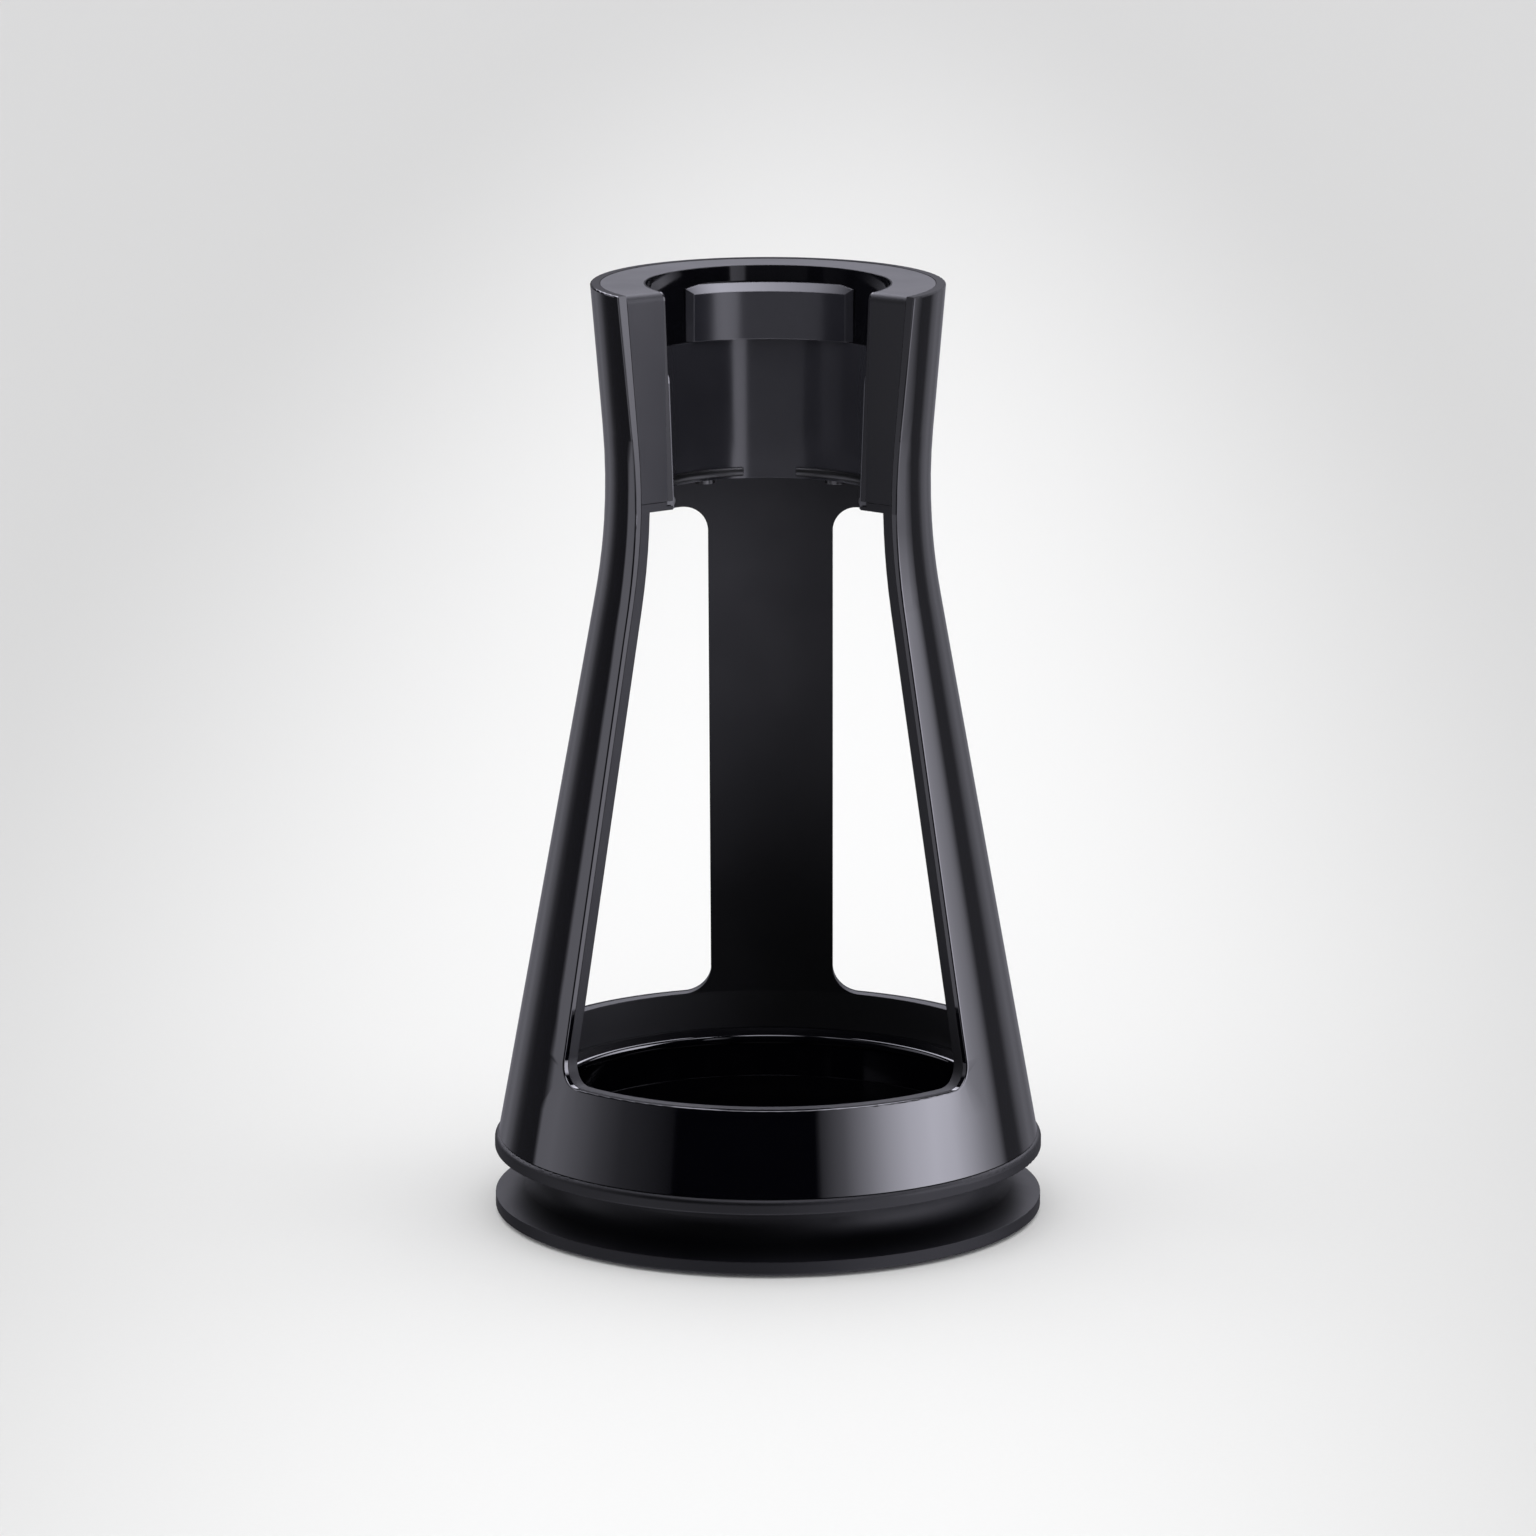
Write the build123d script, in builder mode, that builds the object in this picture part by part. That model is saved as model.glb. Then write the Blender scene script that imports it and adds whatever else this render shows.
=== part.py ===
"""Counter-top stand for a cordless hand-held opener.

A waisted tower with an open front stands on a round grooved foot. A C-shaped collar at the top
holds the opener upright, and its head hangs over a round well in the base. Millimetres, +Z up,
front towards -Y. The origin is the centre of the footprint, on the surface that it stands on.
"""

from build123d import *
import math
import os

os.makedirs("parts", exist_ok=True)

# ---- overall sizes
height = 205.2  # surface to collar rim
foot_dia = 120.0  # lowest flange
skirt_dia = 118.5  # tower shell at its lower edge
rim_dia = 76.6  # tower shell at the collar rim
waist_dia = 68.3  # where the two straight flanks would meet
waist_blend = 140.0  # radius that rounds the waist
waist_below_collar = 2.8  # flanks meet this far under the collar

# ---- levels of the base, from the surface up
pad_proud = 0.8  # rubber pads below the foot
band_height = 2.8  # straight edge band of the foot
groove_floor_z = 6.6  # foot flange, if it ran straight in to the neck
trim_z = 14.0  # underside of the trim ring
trim_height = 3.2
shell_gap = 0.15  # under the shell's lower edge
well_floor_z = 8.0
well_ring_z = 26.7  # top of the ring round the well
sill_z = 35.8  # lower edge of all three openings

# ---- collar
collar_height = 46.9  # rim down to the shelf's underside
shelf = 1.8  # shelf that carries the collar insert
bore_top_dia = 52.8
bore_low_dia = 50.8
sleeve_wall = 0.8
sleeve_corner = 4.0  # rounded top corners of its front edges
sleeve_setback = 1.9  # degrees that the sleeve's front edges stay behind the cheeks
lip_proud = 1.4  # sleeve lip that the insert clamps on the shelf
lip_height = 1.0
insert_top_wall = 2.6
cheek_round = 1.8
rib_wall = 1.2
rib_turns = (-172, -120, -96, 96, 120, 172)  # stiffening ribs, from the front
bead_gap = 12.0  # gap between the two beads at the back
bead_proud = 0.9
bead_height = 2.0
bead_lift = 0.5
bead_end_gap = 2.0  # degrees from a bead's front end to the sleeve's edge

# ---- locating pad on the bore's back wall
pad_half = 18.3
pad_face_half = 16.4
pad_face_radius = 32.0
pad_step = 0.2
pad_below_rim = 15.9
pad_tall = 12.3
pad_bevel = 1.8
peg_r = 1.5
peg_spacing = 16.0
barb = 0.35  # pegs and hooks catch by this much

# ---- openings
leg_angle = 52.2  # half angle of the front opening, along the legs
rim_angle = 55.6  # and at the rim
front_leg_back = 97.5  # rear edge of a front leg, from the front
back_leg_half = 13.75  # half width of the back leg
window_drop = 6.7  # top of the rear windows below the collar
front_corner = 5.5
rear_corner = 6.0

# ---- walls and clearances
shell_wall = 1.2
rim_wall = 2.1  # shell at the rim
frame_wall = 2.4
insert_wall = 2.0
fit = 0.1  # between mouldings that nest
edge_round = 0.35  # polished outer edges
well_dia = 95.0
well_wall = 1.3
neck_wall = 2.5
neck_cove = 5.0  # hollow curve where the neck meets the flange
trim_proud = 0.85  # trim ring outside the shell's lower edge
trim_shoulder = 1.2
ring_height = 2.2
ring_nose = 0.5  # well ring inside the well wall
ring_groove = 0.3
nose_round = 0.9
carrier_plate = 2.4
floor_wall = 2.0
floor_round = 2.0
flange_edge = 2.2  # foot band wall, round the cover
ring_fit = 0.3  # round the well ring, the carrier and the cover

# ---- base fittings
cover_thick = 1.6
ballast_thick = 2.7
ballast_gap = 2.5  # plate to the recess round it
ballast_posts = 3
post_r = 3.0
post_circle = 26.0
pad_count = 4
foot_pad_dia = 12.0
foot_pad_circle = 37.0
foot_pad_seat = 0.8
hook_count = 4
hook_angle = 16.0
hook_slack = 1.5
hook_reach = 1.2
trim_pegs = 4
stake_height = 0.7

# ---- fasteners: shank radius, head radius, head height, length under the head
small_screw = (1.25, 2.2, 1.2, 6.5)
carrier_screw_size = (1.25, 2.2, 1.2, 4.6)
cover_screw = (1.25, 2.2, 1.1, 2.6)
post_screw = (1.25, 3.4, 0.7, 2.6)
thread_fit = 0.05
hole_fit = 0.15
boss_r = 2.9
boss_count = 4
boss_height = 4.4
boss_inset = 0.9  # boss centres from the outside of the frame's skirt
collar_boss_out = 3.2  # boss centres from the bore at the shelf
collar_screw_turns = (-150, -75, 75, 150)  # from the front

# ---- values that follow
skirt_r = skirt_dia / 2
rim_r = rim_dia / 2
waist_r = waist_dia / 2
well_r = well_dia / 2
neck_r = well_r + neck_wall
foot_r = foot_dia / 2
collar_z = height - collar_height
waist_z = collar_z - waist_below_collar
shelf_top = collar_z + shelf
window_top = collar_z - window_drop
band_top = pad_proud + band_height
trim_top = trim_z + trim_height
shell_z = trim_top + shell_gap
carrier_z = trim_top + fit
carrier_top = carrier_z + carrier_plate
cover_top = pad_proud + cover_thick
insert_inset = shell_wall + fit
insert_z = shelf_top + fit
insert_top = height - fit
bore_top_r = bore_top_dia / 2
bore_low_r = bore_low_dia / 2
well_ring_low = well_ring_z - ring_height
flank = (skirt_r - waist_r) / (waist_z - shell_z)
sill_r = skirt_r - (sill_z - shell_z) * flank
frame_skirt_in = sill_r - shell_wall - fit - frame_wall
frame_skirt_out = sill_r - shell_wall - fit
boss_circle = frame_skirt_out - boss_inset - 1
lip_r = bore_low_r + lip_proud
trim_r = skirt_r + trim_proud
tube_r = well_r + well_wall
carrier_r = skirt_r - shell_wall - flank * carrier_plate - ring_fit
cover_r = foot_r - flange_edge - ring_fit
cover_screw_circle = (neck_r + cover_r) / 2
under_r = well_r - 1.0  # recess under the well's floor
ballast_r = under_r - ballast_gap
post_height = ballast_thick + fit
ballast_z = well_floor_z - floor_wall - post_height
cover_pilot = cover_screw[2] + cover_screw[3] - cover_thick + fit
peg_space = skirt_r - shell_wall - flank * (carrier_top + stake_height - shell_z) - frame_skirt_out
trim_peg_r = peg_space / 2 - barb - 2 * fit  # between the frame's skirt and the shell
trim_peg_circle = frame_skirt_out + peg_space / 2
half_step = 45.0  # hooks, pegs and cover screws sit between the frame's bosses
BEYOND = 110.0  # past every outside face
PAST = 4.0  # a cutter's run past the rim


def from_front(radius, degrees):
    """Plan position at this radius, turned from the front (-Y) towards +X."""
    turn = math.radians(degrees)
    return (radius * math.sin(turn), -radius * math.cos(turn))


def waisted(skirt_inset, waist_inset, rim_inset, low, top):
    """Solid of revolution inside the tower's outline, set in by the three insets."""
    with BuildPart() as body:
        with BuildSketch(Plane.XZ):
            with BuildLine():
                side = FilletPolyline(
                    (skirt_r - skirt_inset, shell_z),
                    (waist_r - waist_inset, waist_z),
                    (rim_r - rim_inset, height),
                    radius=waist_blend,
                )
                Polyline(side @ 1, (0, height), (0, shell_z), side @ 0)
            make_face()
        revolve(axis=Axis.Z)
        with BuildSketch(Plane.XY.offset(low)):
            Circle(BEYOND)
        extrude(amount=top - low, mode=Mode.INTERSECT)
    return body.part


def cone_core(low_r, top_r, low, top):
    """Round core with a straight taper."""
    with BuildPart() as core:
        with BuildSketch(Plane.XZ):
            with BuildLine():
                Polyline((0, low), (low_r, low), (top_r, top), (0, top), close=True)
            make_face()
        revolve(axis=Axis.Z)
    return core.part


def ring(inner, outer, low, top):
    """Flat ring between two radii and two levels."""
    with BuildPart() as body:
        with BuildSketch(Plane.XY.offset(low)):
            Circle(outer)
            Circle(inner, mode=Mode.SUBTRACT)
        extrude(amount=top - low)
    return body.part


def front_wedge(widen=0.0):
    """Cutter for the open front: rounded corners at the sill, wider towards the rim."""
    near = well_r / 3

    def section(level, angle):
        with BuildSketch(Plane.XY.offset(level)) as face:
            with BuildLine():
                Polyline(
                    from_front(near, -angle),
                    from_front(BEYOND, -angle),
                    from_front(BEYOND, angle),
                    from_front(near, angle),
                    close=True,
                )
            make_face()
        return face.sketch

    lower = section(sill_z, leg_angle + widen)
    middle = section(collar_z, leg_angle + widen)
    upper = section(height + PAST, rim_angle + widen)
    with BuildPart() as wedge:
        add(lower)
        extrude(amount=collar_z - sill_z)
        low_edges = wedge.edges().group_by(Axis.Z)[0]
        fillet(low_edges.filter_by(Axis.X, reverse=True), radius=front_corner)
        loft(sections=[middle, upper])
    return wedge.part


def rear_window():
    """Cutter for the window between a front leg and the back leg, on the +X side.

    It is the space that two blocks share: one beyond the back leg, one behind the front leg, each
    with its two long edges rounded.
    """
    tall = window_top - sill_z
    with BuildPart() as beside_leg:
        with Locations((back_leg_half, 0, sill_z)):
            Box(BEYOND, BEYOND, tall, align=Align.MIN)
        fillet(beside_leg.edges().filter_by(Axis.Y).group_by(Axis.X)[0], radius=rear_corner)
    with BuildPart() as behind_leg:
        with Locations((0, 0, sill_z)):
            Box(BEYOND, BEYOND, tall, align=Align.MIN)
        fillet(behind_leg.edges().filter_by(Axis.X).group_by(Axis.Y)[0], radius=rear_corner)
    return beside_leg.part & behind_leg.part.rotate(Axis.Z, front_leg_back - 90)


def ring_piece(inner, outer, low, top, sweep):
    """Piece of a ring that spans this many degrees, centred on +X."""
    with BuildPart() as piece:
        with BuildSketch(Plane.XZ):
            with BuildLine():
                Polyline((inner, low), (outer, low), (outer, top), (inner, top), close=True)
            make_face()
        revolve(axis=Axis.Z, revolution_arc=sweep)
    return piece.part.rotate(Axis.Z, -sweep / 2)


def screw(size, plane, countersunk=False):
    """Cross-head screw, its shank along the plane's normal and its head behind the plane."""
    shank_r, head_r, head_h, length = size
    with BuildPart() as body:
        with BuildSketch(plane.offset(-head_h)):
            Circle(head_r)
        if countersunk:
            with BuildSketch(plane):
                Circle(shank_r - thread_fit)
            loft()
        else:
            extrude(amount=head_h)
        with BuildSketch(plane.offset(-head_h)):
            Rectangle(head_r * 1.2, head_r * 0.3)
            Rectangle(head_r * 0.3, head_r * 1.2)
        extrude(amount=head_h * 0.6, mode=Mode.SUBTRACT)
        with BuildSketch(plane):
            Circle(shank_r - thread_fit)
        extrude(amount=length)
    return body.part


collar_screw_spots = [from_front(bore_low_r + collar_boss_out, turn) for turn in collar_screw_turns]
front_cut = front_wedge()
right_window = rear_window()
left_window = mirror(right_window, about=Plane.YZ)

# ---- outer shell: polished skin that wraps the whole tower, open at the front
shell_body = waisted(0, 0, 0, shell_z, height)
shell_core = waisted(shell_wall, shell_wall, rim_wall, shell_z, height)


def polished_edges(shell):
    """Outer edges of the shell's openings and rim: they border one outward face only."""
    outward = [
        face
        for face in shell.faces().filter_by(GeomType.CONE) + shell.faces().filter_by(GeomType.TORUS)
        if face.normal_at(face.position_at(0.5, 0.5)).dot(face.position_at(0.5, 0.5)) > 0
    ]
    borders = {}
    for face in outward:
        for edge in face.edges():
            borders.setdefault(edge, []).append(face)
    once = [edge for edge, faces in borders.items() if len(faces) == 1]
    return [edge for edge in once if (edge @ 0.5).Z > shell_z + fit and abs((edge @ 0.5).Y) > fit]


with BuildPart() as outer_shell:
    add(shell_body)
    add(shell_core, mode=Mode.SUBTRACT)
    add(front_cut, mode=Mode.SUBTRACT)
    add(right_window, mode=Mode.SUBTRACT)
    add(left_window, mode=Mode.SUBTRACT)
    fillet(polished_edges(outer_shell), radius=edge_round)
outer_shell.part.label = "outer_shell"

# ---- inner frame: matt moulding that lines the legs and carries the shelf and the screw bosses
frame_inset = insert_inset + frame_wall
frame_body = waisted(insert_inset, insert_inset, rim_wall + fit, sill_z, shelf_top)
frame_core = waisted(frame_inset, frame_inset, frame_inset, shell_z, collar_z)
frame_skirt = ring(frame_skirt_in, frame_skirt_out, carrier_top, sill_z)
shelf_bore = cone_core(bore_low_r, bore_low_r, collar_z - fit, shelf_top)
lip_seat = cone_core(lip_r + fit, lip_r + fit, shelf_top - lip_height, shelf_top)

with BuildPart() as inner_frame:
    add(frame_body)
    add(frame_core, mode=Mode.SUBTRACT)
    add(frame_skirt)
    add(shelf_bore, mode=Mode.SUBTRACT)
    add(lip_seat, mode=Mode.SUBTRACT)
    add(front_cut, mode=Mode.SUBTRACT)
    add(right_window, mode=Mode.SUBTRACT)
    add(left_window, mode=Mode.SUBTRACT)
    with BuildSketch(Plane.XY.offset(carrier_top)):
        with PolarLocations(boss_circle, boss_count):
            Circle(boss_r)
    extrude(amount=boss_height)
    with BuildSketch(Plane.XY.offset(carrier_top)):
        with PolarLocations(boss_circle, boss_count):
            Circle(small_screw[0])
    extrude(amount=boss_height - fit, mode=Mode.SUBTRACT)
    with BuildSketch(Plane.XY.offset(collar_z)):
        with Locations(*collar_screw_spots):
            Circle(small_screw[0] + hole_fit)
    extrude(amount=shelf, mode=Mode.SUBTRACT)
inner_frame.part.label = "inner_frame"

# ---- places that the insert and its pad share
pad_low = height - pad_below_rim
taper = (bore_top_r - bore_low_r) / (insert_top - insert_z)
pad_back_r = bore_low_r + taper * (pad_low - insert_z) - fit
pad_back = math.sqrt(pad_back_r**2 - pad_half**2)
peg_x = peg_spacing / 2
peg_start = math.sqrt(pad_back_r**2 - peg_x**2) - pad_bevel / 2
peg_plane = Plane(origin=(0, peg_start, pad_low + pad_tall / 2), x_dir=(1, 0, 0), z_dir=(0, 1, 0))
peg_spots = [(-peg_x, 0), (peg_x, 0)]
peg_length = pad_bevel / 2 + insert_wall + 5 * barb

# ---- collar insert: matt top and cheeks, hollow from below, with the tapered bore
insert_body = waisted(insert_inset, insert_inset, rim_wall + fit, insert_z, insert_top)
insert_hollow = waisted(
    insert_inset + insert_wall,
    insert_inset + insert_wall,
    rim_wall + fit + insert_wall,
    insert_z,
    insert_top - insert_top_wall,
)
bore_core = cone_core(bore_low_r, bore_top_r, insert_z, insert_top)
bore_wall = cone_core(bore_low_r + insert_wall, bore_top_r + insert_wall, insert_z, insert_top)
cheek_angle = math.degrees(insert_wall / (bore_top_r + insert_wall))
hollow_cut = front_wedge(cheek_angle)

rib_places = [Location((*from_front(rim_r, turn), 0), (0, 0, turn - 90)) for turn in rib_turns]

with BuildPart() as collar_hollow:
    add(insert_hollow)
    add(bore_wall, mode=Mode.SUBTRACT)
    add(hollow_cut, mode=Mode.SUBTRACT)
    with BuildSketch(Plane.XY.offset(insert_z)):
        with Locations(*collar_screw_spots):
            Circle(boss_r)
    extrude(amount=collar_height, mode=Mode.SUBTRACT)
    with BuildSketch(Plane.XY.offset(insert_z)):
        with Locations(*rib_places):
            Rectangle(rim_r, rib_wall)
    extrude(amount=collar_height, mode=Mode.SUBTRACT)

with BuildPart() as collar_insert:
    add(insert_body)
    add(bore_core, mode=Mode.SUBTRACT)
    add(front_cut, mode=Mode.SUBTRACT)
    add(collar_hollow.part, mode=Mode.SUBTRACT)
    top_edges = collar_insert.edges().group_by(Axis.Z)[-1]
    fillet(top_edges.filter_by(GeomType.CIRCLE, reverse=True), radius=cheek_round)
    with BuildSketch(Plane.XY.offset(insert_z)):
        with Locations(*collar_screw_spots):
            Circle(small_screw[0])
    extrude(amount=small_screw[3], mode=Mode.SUBTRACT)
    with BuildSketch(peg_plane):
        with Locations(*peg_spots):
            Circle(peg_r + hole_fit)
    extrude(amount=peg_length + insert_wall, mode=Mode.SUBTRACT)
collar_insert.part.label = "collar_insert"

# ---- bore sleeve: thin polished liner below the pad, held by a lip on the shelf
sleeve_top = pad_low - fit
sleeve_out_top = bore_low_r + taper * (sleeve_top - insert_z) - fit
sleeve_body = cone_core(bore_low_r - fit, sleeve_out_top, collar_z, sleeve_top)
sleeve_core = cone_core(
    bore_low_r - fit - sleeve_wall, sleeve_out_top - sleeve_wall, collar_z, sleeve_top
)
sleeve_lip = cone_core(lip_r, lip_r, shelf_top - lip_height + fit, shelf_top)
sleeve_cut = front_wedge(sleeve_setback)

with BuildPart() as bore_sleeve:
    add(sleeve_body)
    add(sleeve_lip)
    add(sleeve_core, mode=Mode.SUBTRACT)
    add(sleeve_cut, mode=Mode.SUBTRACT)
    top_edges = bore_sleeve.edges().group_by(Axis.Z)[-1]
    fillet(top_edges.filter_by(GeomType.CIRCLE, reverse=True), radius=sleeve_corner)
bore_sleeve.part.label = "bore_sleeve"

# ---- beads: two soft strips round the sleeve's lower edge, either side of a gap at the back
bead_r = bore_low_r - fit - sleeve_wall
bead_turn = math.degrees(bead_gap / 2 / bead_r)
bead_sweep = 180 - leg_angle - sleeve_setback - bead_turn - bead_end_gap
with BuildPart() as bead_blank:
    with BuildSketch(Plane.YZ):
        with BuildLine():
            low_end = (bead_r, collar_z + bead_lift)
            high_end = (bead_r, collar_z + bead_lift + bead_height)
            nose = (bead_r - bead_proud, collar_z + bead_lift + bead_height / 2)
            Line(low_end, high_end)
            ThreePointArc(high_end, nose, low_end)
        make_face()
    revolve(axis=Axis.Z, revolution_arc=bead_sweep)
bead_right = bead_blank.part.rotate(Axis.Z, -bead_turn - bead_sweep)
bead_left = mirror(bead_right, about=Plane.YZ)
bead_right.label = "bead_right"
bead_left.label = "bead_left"

# ---- locating pad: flat-faced key on the back wall of the bore, bevelled at its top and sides
with BuildPart() as locating_pad:
    with BuildSketch(Plane.XY.offset(pad_low)):
        with BuildLine():
            RadiusArc((pad_half, pad_back), (-pad_half, pad_back), -pad_back_r)
            Line((-pad_half, pad_back), (-pad_face_half, pad_back - pad_step))
            RadiusArc(
                (-pad_face_half, pad_back - pad_step),
                (pad_face_half, pad_back - pad_step),
                pad_face_radius,
            )
            Line((pad_face_half, pad_back - pad_step), (pad_half, pad_back))
        make_face()
    extrude(amount=pad_tall)
    front_edge = locating_pad.edges().group_by(Axis.Z)[-1].filter_by(GeomType.CIRCLE).sort_by(Axis.Y)[0]
    chamfer(front_edge, length=pad_bevel)
    with BuildSketch(peg_plane):
        with Locations(*peg_spots):
            Circle(peg_r)
    extrude(amount=peg_length)
    with BuildSketch(peg_plane.offset(peg_length - barb)):
        with Locations(*peg_spots):
            Circle(peg_r + barb)
    extrude(amount=2 * barb)
locating_pad.part.label = "locating_pad"

# ---- well ring: glossy ring with a rounded nose, lying on the carrier's tube
with BuildPart() as well_ring:
    with BuildSketch(Plane.XY.offset(well_ring_low)):
        Circle(frame_skirt_in - ring_fit)
        Circle(well_r - ring_nose, mode=Mode.SUBTRACT)
    extrude(amount=ring_height)
    nose_edges = well_ring.edges().filter_by(GeomType.CIRCLE).sort_by(SortBy.RADIUS)[:2]
    fillet(nose_edges, radius=nose_round)
    with BuildSketch(Plane.XY.offset(well_ring_z - ring_groove)):
        Circle(neck_r)
        Circle(neck_r - ring_groove, mode=Mode.SUBTRACT)
    extrude(amount=ring_groove, mode=Mode.SUBTRACT)
well_ring.part.label = "well_ring"

# ---- base carrier: plate that closes the tower, with the upper wall of the well
hook_out = neck_r + hook_reach
slot_sweep = hook_angle + hook_slack
hook_slot = ring_piece(tube_r + fit, hook_out + hole_fit, trim_top, carrier_top, slot_sweep)
with BuildPart() as base_carrier:
    with BuildSketch(Plane.XZ):
        with BuildLine():
            Polyline(
                (well_r, carrier_z),
                (carrier_r, carrier_z),
                (carrier_r, carrier_top - fit),
                (tube_r, carrier_top - fit),
                (tube_r, well_ring_low - fit),
                (well_r, well_ring_low - fit),
                close=True,
            )
        make_face()
    revolve(axis=Axis.Z)
    with PolarLocations(0, hook_count, start_angle=half_step):
        add(hook_slot, mode=Mode.SUBTRACT)
    with BuildSketch(Plane.XY.offset(carrier_z)):
        with PolarLocations(boss_circle, boss_count):
            Circle(small_screw[0] + hole_fit)
        with PolarLocations(trim_peg_circle, trim_pegs, start_angle=half_step):
            Circle(trim_peg_r + hole_fit)
    extrude(amount=carrier_plate, mode=Mode.SUBTRACT)
    with BuildSketch(Plane.XY.offset(carrier_z)):
        with PolarLocations(boss_circle, boss_count):
            Circle(small_screw[1] + hole_fit)
    extrude(amount=small_screw[2] + fit, mode=Mode.SUBTRACT)
base_carrier.part.label = "base_carrier"

# ---- trim ring: matt ring under the shell, staked to the carrier by four pegs
with BuildPart() as trim_ring:
    with BuildSketch(Plane.XY.offset(trim_z)):
        Circle(trim_r)
        Circle(neck_r + hole_fit, mode=Mode.SUBTRACT)
    extrude(amount=trim_height)
    fillet(trim_ring.edges().group_by(Axis.Z)[-1].sort_by(SortBy.RADIUS)[-1], radius=trim_shoulder)
    fillet(trim_ring.edges().group_by(Axis.Z)[0].sort_by(SortBy.RADIUS)[-1], radius=edge_round)
    with BuildSketch(Plane.XY.offset(trim_top)):
        with PolarLocations(trim_peg_circle, trim_pegs, start_angle=half_step):
            Circle(trim_peg_r)
    extrude(amount=carrier_plate + stake_height)
    with BuildSketch(Plane.XY.offset(carrier_top)):
        with PolarLocations(trim_peg_circle, trim_pegs, start_angle=half_step):
            Circle(trim_peg_r + barb)
    extrude(amount=stake_height)
trim_ring.part.label = "trim_ring"

# ---- foot: matt spool moulding, its neck and flange making a groove, with the well inside
hook_arm = ring_piece(tube_r + 2 * fit, neck_r, trim_z, carrier_top + barb + hook_reach, hook_angle)
hook_barb = ring_piece(neck_r, hook_out, carrier_top + fit, carrier_top + hook_reach, hook_angle)
with BuildPart() as spool_foot:
    with BuildSketch(Plane.XZ):
        with BuildLine():
            cove = FilletPolyline(
                (foot_r, band_top), (neck_r, groove_floor_z), (neck_r, trim_top), radius=neck_cove
            )
            Polyline(
                cove @ 1,
                (well_r, trim_top),
                (well_r, well_floor_z),
                (0, well_floor_z),
                (0, well_floor_z - floor_wall),
                (under_r, well_floor_z - floor_wall),
                (under_r, cover_top + fit),
                (foot_r - flange_edge, cover_top + fit),
                (foot_r - flange_edge, pad_proud),
                (foot_r, pad_proud),
                cove @ 0,
            )
        make_face()
    revolve(axis=Axis.Z)
    floor_corner = spool_foot.edges().filter_by_position(Axis.Z, well_floor_z, well_floor_z)
    fillet(floor_corner, radius=floor_round)
    low_outer = spool_foot.edges().group_by(Axis.Z)[0].sort_by(SortBy.RADIUS)[-1]
    fillet(low_outer, radius=edge_round)
    with PolarLocations(0, hook_count, start_angle=half_step):
        add([hook_arm, hook_barb])
    with BuildSketch(Plane.XY.offset(well_floor_z - floor_wall)):
        with PolarLocations(post_circle, ballast_posts, start_angle=90):
            Circle(post_r)
    extrude(amount=-post_height)
    with BuildSketch(Plane.XY.offset(well_floor_z - floor_wall - post_height)):
        with PolarLocations(post_circle, ballast_posts, start_angle=90):
            Circle(post_screw[0])
    extrude(amount=post_height, mode=Mode.SUBTRACT)
    with BuildSketch(Plane.XY.offset(cover_top)):
        with PolarLocations(cover_screw_circle, boss_count, start_angle=half_step):
            Circle(cover_screw[0])
    extrude(amount=cover_pilot, mode=Mode.SUBTRACT)
spool_foot.part.label = "spool_foot"

# ---- ballast plate: steel disc hung on the foot's three posts, so that the stand stays put
with BuildPart() as ballast_plate:
    with BuildSketch(Plane.XY.offset(ballast_z)):
        Circle(ballast_r)
        with PolarLocations(post_circle, ballast_posts, start_angle=90):
            Circle(post_r + hole_fit, mode=Mode.SUBTRACT)
    extrude(amount=ballast_thick)
ballast_plate.part.label = "ballast_plate"

# ---- base cover: flat plate under the foot, with four seats for the rubber pads
with BuildPart() as base_cover:
    with BuildSketch(Plane.XY.offset(pad_proud)):
        Circle(cover_r)
    extrude(amount=cover_thick)
    with BuildSketch(Plane.XY.offset(pad_proud)):
        with PolarLocations(foot_pad_circle, pad_count):
            Circle(foot_pad_dia / 2 + hole_fit)
    extrude(amount=foot_pad_seat, mode=Mode.SUBTRACT)
    with Locations(Plane(origin=(0, 0, pad_proud), x_dir=(1, 0, 0), z_dir=(0, 0, -1))):
        with PolarLocations(cover_screw_circle, boss_count, start_angle=half_step):
            CounterSinkHole(cover_screw[0] + hole_fit, cover_screw[1] + hole_fit)
base_cover.part.label = "base_cover"

# ---- rubber pads: four discs stuck in the cover's seats, which the stand rests on
foot_pads = []
for number in range(pad_count):
    turn = math.radians(number * 360 / pad_count)
    spot = (foot_pad_circle * math.cos(turn), foot_pad_circle * math.sin(turn))
    with BuildPart() as foot_pad:
        with BuildSketch():
            with Locations(spot):
                Circle(foot_pad_dia / 2)
        extrude(amount=pad_proud + foot_pad_seat)
        fillet(foot_pad.edges().group_by(Axis.Z)[0], radius=pad_proud / 3)
    foot_pad.part.label = f"foot_pad_{number + 1}"
    foot_pads.append(foot_pad.part)

# ---- screws: each set is one group of like screws
UP = (0, 0, 1)
collar_screw = screw(small_screw, Plane(origin=(0, 0, collar_z), z_dir=UP))
carrier_screw_z = carrier_z + carrier_screw_size[2] + fit
carrier_screw = screw(carrier_screw_size, Plane(origin=(0, 0, carrier_screw_z), z_dir=UP))
cover_fixing = screw(cover_screw, Plane(origin=(0, 0, pad_proud + cover_screw[2]), z_dir=UP), True)
post_fixing = screw(post_screw, Plane(origin=(0, 0, ballast_z - fit), z_dir=UP))

with BuildPart() as collar_screws:
    with Locations(*[(x, y, 0) for x, y in collar_screw_spots]):
        add(collar_screw)
collar_screws.part.label = "collar_screws"

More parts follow.
